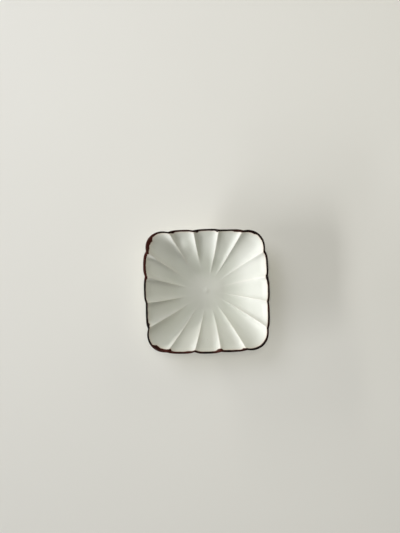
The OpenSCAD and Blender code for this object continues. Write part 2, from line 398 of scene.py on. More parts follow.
class GlazeFinish(bpy.types.PropertyGroup):
    """Colours of the glazes and the clay, and the widths of the brown band."""

    white: bpy.props.FloatVectorProperty(
        name="White",
        description="White glaze where it lies evenly",
        default=(0.61, 0.62, 0.555),
        subtype="COLOR",
    )
    pooled: bpy.props.FloatVectorProperty(
        name="Pooled",
        description="White glaze where it runs thick",
        default=(0.56, 0.58, 0.505),
        subtype="COLOR",
    )
    thin: bpy.props.FloatVectorProperty(
        name="Thin",
        description="White glaze where it thins over a ridge",
        default=(0.64, 0.64, 0.57),
        subtype="COLOR",
    )
    iron: bpy.props.FloatVectorProperty(
        name="Iron",
        description="Iron glaze where it is thick",
        default=(0.0055, 0.0024, 0.0016),
        subtype="COLOR",
    )
    rust: bpy.props.FloatVectorProperty(
        name="Rust",
        description="Iron glaze where it fired red",
        default=(0.046, 0.011, 0.007),
        subtype="COLOR",
    )
    clay: bpy.props.FloatVectorProperty(
        name="Clay", description="Bare fired clay", default=(0.72, 0.67, 0.58), subtype="COLOR"
    )
    toast: bpy.props.FloatVectorProperty(
        name="Toast",
        description="Bare clay toasted beside the glaze",
        default=(0.55, 0.36, 0.22),
        subtype="COLOR",
    )
    band_in: bpy.props.FloatProperty(
        name="Band Inside", description="Brown band down the inside", default=0.00024, unit="LENGTH"
    )
    mark_in: bpy.props.FloatProperty(
        name="Brush Mark", description="Extra width of the widest brush mark", default=0.0013, unit="LENGTH"
    )
    band_out: bpy.props.FloatProperty(
        name="Band Outside", description="Brown band down the outside", default=0.0020, unit="LENGTH"
    )


class StageSettings(bpy.types.PropertyGroup):
    """The table, the lamps and the camera."""

    floor: bpy.props.FloatVectorProperty(
        name="Floor", description="Colour of the table", default=(0.74, 0.735, 0.68), subtype="COLOR"
    )
    floor_radius: bpy.props.FloatProperty(
        name="Floor Radius", description="Radius of the round table", default=1.3, unit="LENGTH"
    )
    backdrop: bpy.props.FloatVectorProperty(
        name="Backdrop",
        description="Pale room behind the table",
        default=(0.70, 0.70, 0.665),
        subtype="COLOR",
    )
    sky: bpy.props.FloatVectorProperty(
        name="Sky", description="Faint light from all round", default=(0.005, 0.005, 0.005), subtype="COLOR"
    )
    lamp_level: bpy.props.FloatProperty(
        name="Lamp Level", description="Level of all the lamps together", default=1.0
    )
    cool: bpy.props.FloatVectorProperty(
        name="Cool", description="Colour of window light", default=(0.97, 0.99, 1.12), subtype="COLOR"
    )
    warm: bpy.props.FloatVectorProperty(
        name="Warm", description="Colour of room light", default=(1.04, 1.0, 0.86), subtype="COLOR"
    )
    camera_height: bpy.props.FloatProperty(
        name="Camera Height", description="Camera over the table", default=0.3102, unit="LENGTH"
    )
    camera_offset: bpy.props.FloatVectorProperty(
        name="Camera Offset", description="Camera from the dish's middle", default=(-0.0050, -0.00535), size=2
    )
    camera_tilt: bpy.props.FloatProperty(
        name="Camera Tilt",
        description="Lean forward from straight down",
        default=math.radians(4.5),
        subtype="ANGLE",
    )
    camera_turn: bpy.props.FloatProperty(
        name="Camera Turn",
        description="Turn about the view's axis",
        default=math.radians(-1.7),
        subtype="ANGLE",
    )
    lens: bpy.props.FloatProperty(
        name="Lens", description="Focal length on a 36 mm sensor, in millimetres", default=27.0
    )


def mix(a, b, k):
    """a at k 0 and b at k 1."""
    return a + (b - a) * k


def smooth(start, end, x):
    """0 before start and 1 after end, with an easy passage."""
    k = np.clip((x - start) / (end - start), 0, 1)
    return k * k * (3 - 2 * k)


def own_share(shares, k):
    """A share out of a table, which starts again where there are more ridges or petals than shares."""
    return shares[k % len(shares)]


def ridge_values(shares, ridges, even=1.0):
    """Each ridge's share of an even ridge's value, with the first ridge once more at the end."""
    return [even * own_share(shares, k % ridges) for k in range(ridges + 1)]


def ring_shares(count, start=0.0, end=1.0):
    """A column of evenly spaced shares, one for each ring, to set against a row of meridians."""
    return np.linspace(start, end, count)[:, None]


def marks_at(angle, marks, softness):
    """Sum of the marks at each angle, where a mark gives its start, its end and its share."""
    place = np.degrees(angle) % 360
    total = np.zeros_like(place)
    for start, end, share in marks:
        begun = smooth(start - softness, start + softness, place)
        ended = smooth(end - softness, end + softness, place)
        total += share * (begun - ended)
    return total


def wavered(angle, wavers):
    """Uneven share of a width round the lip, about 1, that closes on itself."""
    total = np.ones_like(angle)
    for share, waves, seed in wavers:
        places = zip(np.cos(angle) * waves, np.sin(angle) * waves)
        total += share * np.array([noise.noise(Vector((x, y, seed))) for x, y in places])
    return total


def foot_flare(foot):
    """How far the draft carries the foot ring's flank out, from the table to the clay body."""
    return FOOT_TOP_Z * math.tan(foot.draft)


def foot_core(foot):
    """Half the distance between the middles of the foot ring's corners."""
    return FOOT_REACH - foot_flare(foot) - foot.corner


class DishForm:
    """The faces of the dish as points on its meridians, in rings from the middle or the heel to the lip."""

    def __init__(self, sizes, foot, finish):
        self.sizes = sizes
        self.half = sizes.width / 2
        self.wall_run = self.half - FOOT_REACH
        self.lip_r = sizes.lip_thickness / 2
        lines = self.meridians()
        self.angle = lines["angle"]
        self.turn = lines["turn"]
        self.start = lines["start"]
        self.crest = lines["crest"]
        self.swing = lines["swing"]
        self.depth = lines["depth"]
        self.roll = lines["roll"]
        reach = self.even_reach() + mix(-lines["notch"], lines["stray"], self.swing)
        self.axis_reach = reach - self.lip_r
        self.axis_z = LIP_TOP_Z - self.lip_r
        self.well_z = CLAY_FLOOR_Z + GLAZE_DEPTH
        self.heel_reach = self.foot_reach(foot)
        self.inside_edge = 1 - self.band_inside(finish) / self.half
        self.outside_edge = 1 - finish.band_out * wavered(self.angle, BAND_OUT_WAVERS) / self.wall_run

    def meridians(self):
        """Values on each meridian: its angle, and what its two ridges and its petal give it."""
        sizes = self.sizes
        # A side runs from -1 to 1, and a bay is a side petal's run along it
        bay = 2 / (sizes.side_petals + 2 * sizes.corner_share)
        along = [sizes.corner_share * bay - 1 + bay * k for k in range(sizes.side_petals + 1)]
        ridges = [QUARTER * side + math.atan(place) for side in range(SIDES) for place in along]
        petals = len(ridges)
        for k in range(petals):
            ridges[k] += sizes.ridge_stray * own_share(RIDGE_STRAY_SHARES, k)
        ridges.append(ridges[0] + FULL_TURN)
        on_ridges = {
            "angle": ridges,
            "turn": ridge_values(RIDGE_TURN_SHARES, petals, sizes.flute_twist),
            "start": ridge_values(RIDGE_START_SHARES, petals),
            "crest": ridge_values(RIDGE_CREST_SHARES, petals),
            "notch": ridge_values(RIDGE_NOTCH_SHARES, petals, sizes.scallop),
        }
        strips = []
        for petal in range(petals):
            is_corner = petal % len(along) == len(along) - 1
            count = CORNER_STEPS if is_corner else SIDE_STEPS
            even = np.arange(count) / count
            t = even - CROWDING * np.sin(FULL_TURN * even) / FULL_TURN
            strip = {key: mix(values[petal], values[petal + 1], t) for key, values in on_ridges.items()}
            strip["swing"] = self.flute_swing(t)
            strip["roll"] = own_share(PETAL_ROLL_SHARES, petal) * (2 * t - 1) * strip["swing"]
            strip["depth"] = np.full(count, own_share(PETAL_DEPTH_SHARES, petal))
            strip["stray"] = np.full(count, sizes.hand_stray * own_share(PETAL_STRAY_SHARES, petal))
            strips.append(strip)
        return {key: np.concatenate([strip[key] for strip in strips]) for key in strips[0]}

    def flute_swing(self, t):
        """0 on a ridge and 1 midway between two ridges, with a flattened floor."""

        def rounded(x):
            return np.sqrt(x * x + RIDGE_ROUND_SHARE**2) - RIDGE_ROUND_SHARE

        off_middle = 1 - rounded(np.minimum(t, 1 - t)) / rounded(0.5)
        return 1 - mix(off_middle**2, off_middle**4, FLUTE_FLAT_SHARE)

    def even_reach(self):
        """Reach of the lip's outline before its scallops."""
        power = self.sizes.squareness
        total = np.abs(np.cos(self.angle)) ** power + np.abs(np.sin(self.angle)) ** power
        return self.half * total ** (-1 / power)

    def foot_reach(self, foot):
        """Reach of the heel, a rounded square just outside the foot ring."""
        core = foot_core(foot)
        radius = foot.corner + foot_flare(foot) + foot.glaze_gap
        off_side = np.abs((self.angle + QUARTER / 2) % QUARTER - QUARTER / 2)
        cos, sin = np.cos(off_side), np.sin(off_side)
        straight = (core + radius) / cos
        inner = np.maximum(radius**2 - (core * (cos - sin)) ** 2, 0)
        round_corner = core * (cos + sin) + np.sqrt(inner)
        return np.where((core + radius) * np.tan(off_side) < core, straight, round_corner)

    def band_inside(self, finish):
        """How far the brown band runs down inside the lip, round the dish."""
        band = finish.band_in * wavered(self.angle, BAND_IN_WAVERS)
        brush = finish.mark_in * marks_at(self.angle, BRUSH_MARKS, BRUSH_SOFTNESS)
        return np.maximum(band + brush * wavered(self.angle, BRUSH_WAVERS), BAND_LEAST_SHARE * finish.band_in)

    def points(self, reach, z, turn=0.0):
        """Rings of points at a reach and height on each meridian, turned on from it."""
        reach, z, angle = np.broadcast_arrays(reach, z, self.angle + turn)
        return np.stack([reach * np.cos(angle), reach * np.sin(angle), z], -1)

    def sink(self, share, start):
        """How far the flutes sink at a share of the way to the lip."""
        into = np.clip(share - start, 0, None)
        begun = into**2 / (2 * FLUTE_EASE_SHARE)
        eased = np.where(into < FLUTE_EASE_SHARE, begun, into - FLUTE_EASE_SHARE / 2)
        along = eased / (1 - start - FLUTE_EASE_SHARE / 2)
        flute = self.sizes.flute_depth * along * (1 + FLUTE_HASTE_SHARE * (1 - along))
        return mix(flute, self.sizes.lip_wave, smooth(LIP_SETTLE_SHARE, 1, share))

    def dip(self, share):
        """Flute swing at a share of the reach, where each ridge and petal has its own form below the lip."""
        near_lip = smooth(CREST_FADE_SHARE, 1, share)
        crest = mix(self.crest, 1, near_lip)
        depth = mix(self.depth, 1, near_lip)
        return depth * (1 - crest * (1 - self.swing)) - self.roll * (1 - near_lip)

    def well_rise(self, reach):
        """Rise of the well's floor, a gentle dome with a nub in the middle."""
        sizes = self.sizes
        dome = sizes.dome_height * np.exp(-((reach / sizes.dome_radius) ** 2))
        return dome + sizes.nub_height * np.exp(-((reach / sizes.nub_radius) ** 2))

    def hand_rise(self, share, reach):
        """Rise of the inside face over the lumps and hollows that the hand left."""
        total = np.zeros(np.broadcast_shapes(np.shape(reach), self.angle.shape))
        for angle, place, spread, rise in HAND_LUMPS:
            around = (self.angle - math.radians(angle) + math.pi) % FULL_TURN - math.pi
            away = np.hypot((share - place) * self.half, around * reach)
            total += rise * np.exp(-((away / spread) ** 2))
        return total * (1 - smooth(LIP_SETTLE_SHARE, 1, share))

    def inside(self, share, depth=0.0):
        """Inside face, or the face a depth below it, at shares from the middle to the lip."""
        into = share - WELL_SHARE + BEND_SHARE
        bend = np.clip(into, 0, None) ** 2 / (4 * BEND_SHARE * (1 - WELL_SHARE))
        wall = (share - WELL_SHARE) / (1 - WELL_SHARE)
        rise = np.where(share < WELL_SHARE + BEND_SHARE, bend, wall)
        lean = np.arctan(math.tan(self.sizes.lip_lean) * np.clip(into / (2 * BEND_SHARE), 0, 1))
        end_reach = self.axis_reach - self.lip_r * math.sin(self.sizes.lip_lean)
        end_z = self.axis_z + self.lip_r * math.cos(self.sizes.lip_lean)
        reach = share * mix(self.half, end_reach, share) + depth * np.sin(lean)
        z = mix(self.well_z, end_z, rise) - self.sink(share, self.start) * self.dip(share)
        z = z + self.well_rise(reach) + self.hand_rise(share, reach) - depth * np.cos(lean)
        return self.points(reach, z, self.turn * (1 - share))

    def outside(self, share, depth=0.0):
        """Outside face, or the face a depth behind it, at shares from the heel to the lip."""
        lean = self.sizes.lip_lean * smooth(0, HEEL_SHARE, share)
        end_reach = self.axis_reach + self.lip_r * math.sin(self.sizes.lip_lean)
        end_z = self.axis_z - self.lip_r * math.cos(self.sizes.lip_lean)
        bowed = share + WALL_BOW_SHARE * share * (1 - share)
        from_middle = mix(FOOT_REACH / self.half, 1, share)
        reach = mix(self.heel_reach, end_reach, share) - depth * np.sin(lean)
        z = mix(UNDERSIDE_Z, end_z, bowed) - self.sink(share, 0) * self.dip(from_middle)
        return self.points(reach, z + depth * np.cos(lean))

    def lip(self, share, depth=0.0):
        """Round of the lip, or the face a depth under it, at shares from its inner end to its outer end."""
        bend = math.pi / 2 + self.sizes.lip_lean - math.pi * share
        radius = self.lip_r - depth
        z = self.axis_z - self.sizes.lip_wave * self.swing + radius * np.sin(bend)
        return self.points(self.axis_reach + radius * np.cos(bend), z)


def dish_form(scene):
    """The dish's form from the sizes in the sidebar."""
    return DishForm(scene.dish_sizes, scene.dish_foot, scene.dish_finish)


def wobbled(points, amount):
    """Points moved a little by a field that every face shares, still on the table and in the frame's box."""
    noise.seed_set(WOBBLE_SEED)
    moved = []
    for point in points:
        ripple = noise.noise_vector(Vector(point * RIPPLE_WAVES))
        moved.append(noise.noise_vector(Vector(point * WOBBLE_WAVES)) + ripple * RIPPLE_SHARE)
    settled = smooth(0, FOOT_TOP_Z, points[:, 2])[:, None]
    return np.clip(points + amount * settled * np.array(moved), CAD_BOX[0], CAD_BOX[1])


def ring_faces(rings, count, closed):
    """Faces between neighbouring rings of a loft, and from the last ring to the first if it is closed."""
    faces = []
    around = np.arange(count)
    after = (around + 1) % count
    for i in range(rings if closed else rings - 1):
        k = (i + 1) % rings
        quad = np.stack([i * count + around, k * count + around, k * count + after, i * count + after], 1)
        faces.extend(quad.tolist())
    return faces


def cap_faces(ring, count, middle, is_top):
    """Triangles from a ring to the point at its middle."""
    around = np.arange(count) + ring * count
    after = np.roll(around, -1)
    pair = (around, after) if is_top else (after, around)
    return np.stack([np.full(count, middle), *pair], 1).tolist()


def closed_loft(rings):
    """Points and faces of a ring-shaped solid, whose rings run round its section."""
    return rings.reshape(-1, 3), ring_faces(len(rings), rings.shape[1], closed=True)


def capped_loft(rings, top, bottom):
    """Points and faces of a solid whose rings run out over the top and back underneath."""
    count = rings.shape[1]
    points = np.concatenate([rings.reshape(-1, 3), [top, bottom]])
    faces = ring_faces(len(rings), count, closed=False)
    faces += cap_faces(0, count, len(points) - 2, is_top=True)
    faces += cap_faces(len(rings) - 1, count, len(points) - 1, is_top=False)
    return points, faces


def level_ring(places, z):
    """Places on the plan, all at one height."""
    return np.column_stack([places, np.full(len(places), z)])


def rounded_square_stations(core):
    """Centre and outward direction of each station round a rounded square, anticlockwise."""
    centres, turns = [], []
    corner = np.array([core, core])
    for side in range(SIDES):
        next_corner = np.array([-corner[1], corner[0]])
        for k in range(FOOT_CORNER_STEPS):
            centres.append(corner)
            turns.append(QUARTER * (side + k / FOOT_CORNER_STEPS))
        for k in range(FOOT_RUN_STEPS):
            centres.append(mix(corner, next_corner, k / FOOT_RUN_STEPS))
            turns.append(QUARTER * (side + 1))
        corner = next_corner
    return np.array(centres), np.stack([np.cos(turns), np.sin(turns)], 1)


def foot_section(foot):
    """Section of the foot ring, from its inner edge round: distance out from the corners' middles, height."""
    flare = foot_flare(foot)
    outer = foot.corner
    inner = foot.corner - foot.land
    r = foot.edge_round
    bends = np.linspace(0, QUARTER, FOOT_EDGE_STEPS + 1)
    flank = np.linspace(0, 1, FOOT_FLANK_STEPS + 1)[1:]
    section = [(inner + r - r * math.cos(bend), r - r * math.sin(bend)) for bend in bends]
    section += [(outer - r + r * math.sin(bend), r - r * math.cos(bend)) for bend in bends]
    section += [(outer + flare * k, mix(r, FOOT_TOP_Z, k)) for k in flank]
    section += [(inner - flare * k, mix(r, FOOT_TOP_Z, k)) for k in flank[::-1]]
    return section


def new_piece(name, points, faces, material, node, values=None):
    """A smooth piece that stands for a node of the frame, with named values at each of its points."""
    mesh = bpy.data.meshes.new(name)
    mesh.from_pydata(points.tolist(), [], faces)
    mesh.validate()
    mesh.polygons.foreach_set("use_smooth", np.ones(len(mesh.polygons), bool))
    mesh.set_sharp_from_angle(angle=SHARP_ANGLE)
    for key, column in (values or {}).items():
        attribute = mesh.attributes.new(key, "FLOAT", "POINT")
        attribute.data.foreach_set("value", column.astype(np.float32))
    mesh.materials.append(material)
    piece = bpy.data.objects.new(name, mesh)
    bpy.context.scene.collection.objects.link(piece)
    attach(piece, "root")
    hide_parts(node)
    return piece


class NodeWiring:
    """A node tree being wired, where each node is added with its settings, values and links."""

    def __init__(self, tree):
        self.tree = tree
        self.tree.nodes.clear()

    def add(self, kind, inputs=None, **settings):
        """A new node. An input is a value, or an output of another node to link it to."""
        node = self.tree.nodes.new(kind)
        for key, value in settings.items():
            setattr(node, key, value)
        for key, value in (inputs or {}).items():
            if isinstance(value, bpy.types.NodeSocket):
                self.tree.links.new(value, node.inputs[key])
            else:
                node.inputs[key].default_value = value
        return node

    def noise(self, place, kind):
        """Noise of a kind, which gives its scale per metre, its detail and its roughness."""
        scale, detail, roughness = kind
        inputs = {"Vector": place, "Scale": scale, "Detail": detail, "Roughness": roughness}
        return self.add("ShaderNodeTexNoise", inputs).outputs["Fac"]

    def reckon(self, operation, a, b, clamp=False):
        """One sum, product or test of two values."""
        return self.add("ShaderNodeMath", {0: a, 1: b}, operation=operation, use_clamp=clamp).outputs[0]

    def plus(self, a, b, clamp=False):
        """Sum of two values."""
        return self.reckon("ADD", a, b, clamp)

    def times(self, a, b, clamp=False):
        """Product of two values."""
        return self.reckon("MULTIPLY", a, b, clamp)

    def carry(self, value, passage):
        """A value carried smoothly along a passage, from one range to another, and held at its ends."""
        low, high, to_low, to_high = passage
        inputs = {"Value": value, "From Min": low, "From Max": high, "To Min": to_low, "To Max": to_high}
        return self.add("ShaderNodeMapRange", inputs, interpolation_type="SMOOTHSTEP").outputs["Result"]

    def blend(self, share, first, second):
        """The first colour where the share is 0 and the second where it is 1."""
        inputs = {"Factor": share, MIX_FIRST: first, MIX_SECOND: second}
        return self.add("ShaderNodeMix", inputs, data_type="RGBA").outputs[MIX_RESULT]

    def attribute(self, name):
        """A value that the mesh holds at each point."""
        return self.add("ShaderNodeAttribute", attribute_name=name).outputs["Fac"]

    def place(self):
        """The point's own place on its object."""
        return self.add("ShaderNodeTexCoord").outputs["Object"]


def rgba(colour):
    """A colour with full alpha, for a node's socket."""
    return (*colour, 1.0)


def new_group(name, inputs, outputs):
    """An empty shader node group with sockets of named kinds, and its wiring."""
    tree = bpy.data.node_groups.new(name, "ShaderNodeTree")
    for in_out, sockets in (("INPUT", inputs), ("OUTPUT", outputs)):
        for socket, kind in sockets.items():
            tree.interface.new_socket(socket, in_out=in_out, socket_type="NodeSocket" + kind)
    return tree, NodeWiring(tree)


def glaze_group():
    """Uneven white glaze: its mottled colour, its satin roughness and its soft skin."""
    name = "Mottled Glaze"
    if name in bpy.data.node_groups:
        return bpy.data.node_groups[name]
    tree, nodes = new_group(
        name,
        {
            "Place": "Vector",
            "White": "Color",
            "Pooled": "Color",
            "Thin": "Color",
            "Pool": "Float",
            "Ridge": "Float",
        },
        {"Color": "Color", "Roughness": "Float", "Height": "Float"},
    )
    given = nodes.add("NodeGroupInput").outputs
    place = given["Place"]
    clouds = nodes.carry(nodes.noise(place, GLAZE_CLOUDS), CLOUDS_TO_POOL)
    flecks = nodes.carry(nodes.noise(place, GLAZE_FLECKS), FLECKS_TO_THIN)
    colour = nodes.blend(nodes.plus(given["Pool"], clouds, clamp=True), given["White"], given["Pooled"])
    colour = nodes.blend(given["Ridge"], colour, given["Thin"])
    colour = nodes.blend(flecks, colour, given["Thin"])
    colour = nodes.blend(iron_specks(nodes, place), colour, rgba(SPECK_COLOUR))
    roughness = nodes.carry(nodes.noise(place, GLAZE_SHEEN), SHEEN_TO_ROUGHNESS)
    skin = nodes.times(nodes.noise(place, GLAZE_SKIN), SKIN_SHARE)
    height = nodes.plus(nodes.noise(place, GLAZE_SWELL), skin)
    nodes.add("NodeGroupOutput", {"Color": colour, "Roughness": roughness, "Height": height})
    return tree


def iron_specks(nodes, place):
    """Mask of the few iron specks in the white glaze, one in the middle of each chosen cell."""
    cells = nodes.add("ShaderNodeTexVoronoi", {"Vector": place, "Scale": SPECK_CELLS}).outputs
    draw = nodes.add("ShaderNodeSeparateColor", {0: cells["Color"]}).outputs[0]
    chosen = nodes.reckon("GREATER_THAN", draw, SPECK_FREE_SHARE)
    return nodes.times(nodes.carry(cells["Distance"], DISTANCE_TO_SPECK), chosen)


def clay_group():
    """Bare fired clay: its speckled colour and its grain."""
    name = "Clay Grain"
    if name in bpy.data.node_groups:
        return bpy.data.node_groups[name]
    tree, nodes = new_group(
        name,
        {"Place": "Vector", "Clay": "Color", "Toast": "Color", "Toasted": "Float"},
        {"Color": "Color", "Height": "Float"},
    )
    given = nodes.add("NodeGroupInput").outputs
    clouds = nodes.noise(given["Place"], CLAY_CLOUDS)
    grain = nodes.noise(given["Place"], CLAY_GRAIN)
    toasted = nodes.times(given["Toasted"], nodes.carry(clouds, CLOUDS_TO_TOAST), clamp=True)
    colour = nodes.blend(toasted, given["Clay"], given["Toast"])
    colour = nodes.blend(nodes.carry(grain, GRAIN_TO_DARK), colour, rgba(GRAIN_COLOUR))
    height = nodes.plus(nodes.times(grain, GRAIN_RELIEF_SHARE), nodes.times(clouds, 1 - GRAIN_RELIEF_SHARE))
    nodes.add("NodeGroupOutput", {"Color": colour, "Height": height})
    return tree


def white_glaze(nodes, finish, inputs):
    """Outputs of the mottled glaze, in the dish's own colours."""
    colours = {"White": rgba(finish.white), "Pooled": rgba(finish.pooled), "Thin": rgba(finish.thin)}
    return nodes.add("ShaderNodeGroup", {**colours, **inputs}, node_tree=glaze_group()).outputs


def fired_clay(nodes, finish, inputs):
    """Outputs of the clay grain, in the dish's own colours."""
    colours = {"Clay": rgba(finish.clay), "Toast": rgba(finish.toast)}
    return nodes.add("ShaderNodeGroup", {**colours, **inputs}, node_tree=clay_group()).outputs


def new_material(name):
    """An empty material, and its wiring."""
    material = bpy.data.materials.new(name)
    material.use_nodes = True
    return material, NodeWiring(material.node_tree)


def finish_material(nodes, colour, roughness, height, relief, mirror=PLAIN_MIRROR):
    """The shader and the output that end a material, with its relief as a bump."""
    bump = nodes.add("ShaderNodeBump", {"Distance": relief, "Height": height})
    inputs = {
        "Base Color": colour,
        "Roughness": roughness,
        "Specular IOR Level": mirror,
        "Normal": bump.outputs["Normal"],
    }
    shader = nodes.add("ShaderNodeBsdfPrincipled", inputs)
    nodes.add("ShaderNodeOutputMaterial", {"Surface": shader.outputs["BSDF"]})


def white_glaze_material(finish):
    """Satin white glaze, stained a little where the iron glaze meets it."""
    name = "satin_white_glaze"
    if name in bpy.data.materials:
        return bpy.data.materials[name]
    material, nodes = new_material(name)
    inputs = {"Place": nodes.place(), "Pool": nodes.attribute("pool"), "Ridge": nodes.attribute("ridge")}
    glaze = white_glaze(nodes, finish, inputs)
    stain = nodes.times(nodes.attribute("bleed"), STAIN_SHARE)
    colour = nodes.blend(stain, glaze["Color"], rgba(finish.toast))
    finish_material(nodes, colour, glaze["Roughness"], glaze["Height"], GLAZE_RELIEF, GLAZE_MIRROR)
    return material


def iron_glaze_material(finish):
    """Iron-brown glaze, near black where it is thick and rust-red where it is thin."""
    material, nodes = new_material("iron_brown_glaze")
    place = nodes.place()
    clouds = nodes.noise(place, IRON_CLOUDS)
    crystals = nodes.noise(place, IRON_CRYSTALS)
    red = nodes.plus(nodes.attribute("rust"), nodes.carry(clouds, CLOUDS_TO_RUST))
    red = nodes.plus(red, nodes.carry(crystals, CRYSTALS_TO_RUST))
    red = nodes.plus(red, nodes.times(nodes.attribute("thin"), EDGE_RUST_SHARE), clamp=True)
    colour = nodes.blend(red, rgba(finish.iron), rgba(finish.rust))
    roughness = nodes.carry(clouds, CLOUDS_TO_ROUGHNESS)
    height = nodes.plus(clouds, nodes.times(crystals, CRYSTAL_RELIEF_SHARE))
    finish_material(nodes, colour, roughness, height, IRON_RELIEF, IRON_MIRROR)
    return material


def clay_material(finish):
    """Bare clay of the body, seen only beside the foot."""
    material, nodes = new_material("bare_clay")
    clay = fired_clay(nodes, finish, {"Place": nodes.place(), "Toasted": BODY_TOAST_SHARE})
    finish_material(nodes, clay["Color"], BARE_ROUGHNESS, clay["Height"], CLAY_RELIEF)
    return material


def foot_material(finish):
    """Foot ring, glazed down its flanks to an uneven line and bare where it stands."""
    material, nodes = new_material("foot_glaze_and_clay")
    place = nodes.place()
    height = nodes.add("ShaderNodeSeparateXYZ", {0: place}).outputs["Z"]
    dip_line = nodes.times(nodes.noise(place, DIP_LINE), DIP_LINE_RISE)
    above = nodes.reckon("SUBTRACT", height, dip_line)
    glazed = nodes.carry(above, HEIGHT_TO_GLAZED)
    toasted = nodes.carry(above, HEIGHT_TO_TOASTED)
    glaze = white_glaze(nodes, finish, {"Place": place, "Pool": FOOT_FLANK_POOL_SHARE})
    clay = fired_clay(nodes, finish, {"Place": place, "Toasted": toasted})
    colour = nodes.blend(glazed, clay["Color"], glaze["Color"])
    roughness = nodes.plus(nodes.times(glazed, DIPPED_ROUGHNESS - BARE_ROUGHNESS), BARE_ROUGHNESS)
    coat = nodes.times(glazed, FOOT_GLAZE_RELIEF_SHARE)
    grain = nodes.times(clay["Height"], FOOT_CLAY_RELIEF_SHARE)
    finish_material(nodes, colour, roughness, nodes.plus(coat, grain), GLAZE_RELIEF)
    return material


def floor_material(stage):
    """Pale matt table top with a faint grain."""
    material, nodes = new_material("pale_table")
    place = nodes.place()
    clouds = nodes.carry(nodes.noise(place, TABLE_CLOUDS), CLOUDS_TO_SHADE)
    shade = [channel * TABLE_SHADE_SHARE for channel in stage.floor]
    colour = nodes.blend(clouds, rgba(stage.floor), rgba(shade))
    grain = nodes.noise(place, TABLE_GRAIN)
    finish_material(nodes, colour, TABLE_ROUGHNESS, grain, TABLE_RELIEF, TABLE_MIRROR)
    return material


class DISH_OT_body(bpy.types.Operator):
    """Make the clay body under the glaze"""

    bl_idname = "soy_dish.body"
    bl_label = "Clay Body"

    def execute(self, context):
        scene = context.scene
        form = dish_form(scene)
        inside = form.inside(form.inside_edge * ring_shares(BACK_RINGS, UNDER_GLAZE_SHARE), GLAZE_DEPTH)
        lip = form.lip(ring_shares(LIP_STEPS // 2 + 1), GLAZE_DEPTH)
        outside = form.outside(form.outside_edge * ring_shares(BACK_RINGS, 1, 0), GLAZE_DEPTH)
        rings = np.concatenate([inside, lip, outside])
        points, faces = capped_loft(rings, (0, 0, CLAY_FLOOR_Z), (0, 0, FOOT_TOP_Z))
        points = wobbled(points, scene.dish_sizes.wobble)
        material = clay_material(scene.dish_finish)
        new_piece("dish_body_clay", points, faces, material, "dish_body")
        return {"FINISHED"}


class DISH_OT_foot(bpy.types.Operator):
    """Make the foot ring, with rounded lower edges"""

    bl_idname = "soy_dish.foot"
    bl_label = "Foot Ring"

    def execute(self, context):
        scene = context.scene
        foot = scene.dish_foot
        centres, outward = rounded_square_stations(foot_core(foot))
        rings = [level_ring(centres + out * outward, z) for out, z in foot_section(foot)]
        points, faces = closed_loft(np.array(rings[::-1]))
        points = wobbled(points, FOOT_WOBBLE_SHARE * scene.dish_sizes.wobble)
        material = foot_material(scene.dish_finish)
        new_piece("foot_ring_clay", points, faces, material, "foot_ring")
        return {"FINISHED"}


class DISH_OT_inside_glaze(bpy.types.Operator):
    """Make the white glaze over the well and the petals"""

    bl_idname = "soy_dish.inside_glaze"
    bl_label = "Inside Glaze"

    def execute(self, context):
        scene = context.scene
        form = dish_form(scene)
        front_shares = form.inside_edge * ring_shares(INSIDE_RINGS, FIRST_RING_SHARE)
        back_shares = form.inside_edge * ring_shares(BACK_RINGS, 1, UNDER_GLAZE_SHARE)
        rings = np.concatenate([form.inside(front_shares), form.inside(back_shares, GLAZE_DEPTH)])
        middle = form.inside(ring_shares(1))[0, 0]
        points, faces = capped_loft(rings, middle, (0, 0, CLAY_FLOOR_Z))
        points = wobbled(points, scene.dish_sizes.wobble)
        values = self.coat_values(form, np.concatenate([front_shares, back_shares]))
        material = white_glaze_material(scene.dish_finish)
        new_piece("inside_white_glaze", points, faces, material, "inside_glaze", values)
        return {"FINISHED"}

    def coat_values(self, form, shares):
        """Where the coat thins over ridges, pools, and is stained by the iron glaze, at each point."""
        fluted = smooth(form.start, FLUTE_FULL_SHARE, shares)
        bend = np.exp(-(((shares - WELL_SHARE) / BEND_SPREAD_SHARE) ** 2))
        bend_pool = bend * (BEND_POOL_SHARE + BEND_FLUTE_POOL_SHARE * form.swing)
        away = (form.inside_edge - shares) * form.half
        values = {
            "ridge": fluted * (1 - form.swing) ** RIDGE_THIN_POWER,
            "pool": bend_pool + FLUTE_POOL_SHARE * fluted * form.swing**FLUTE_POOL_POWER,
            "bleed": np.exp(-away / INSIDE_STAIN),
        }
        middles = [0.0, 0.0]
        return {key: np.append(column, middles) for key, column in values.items()}


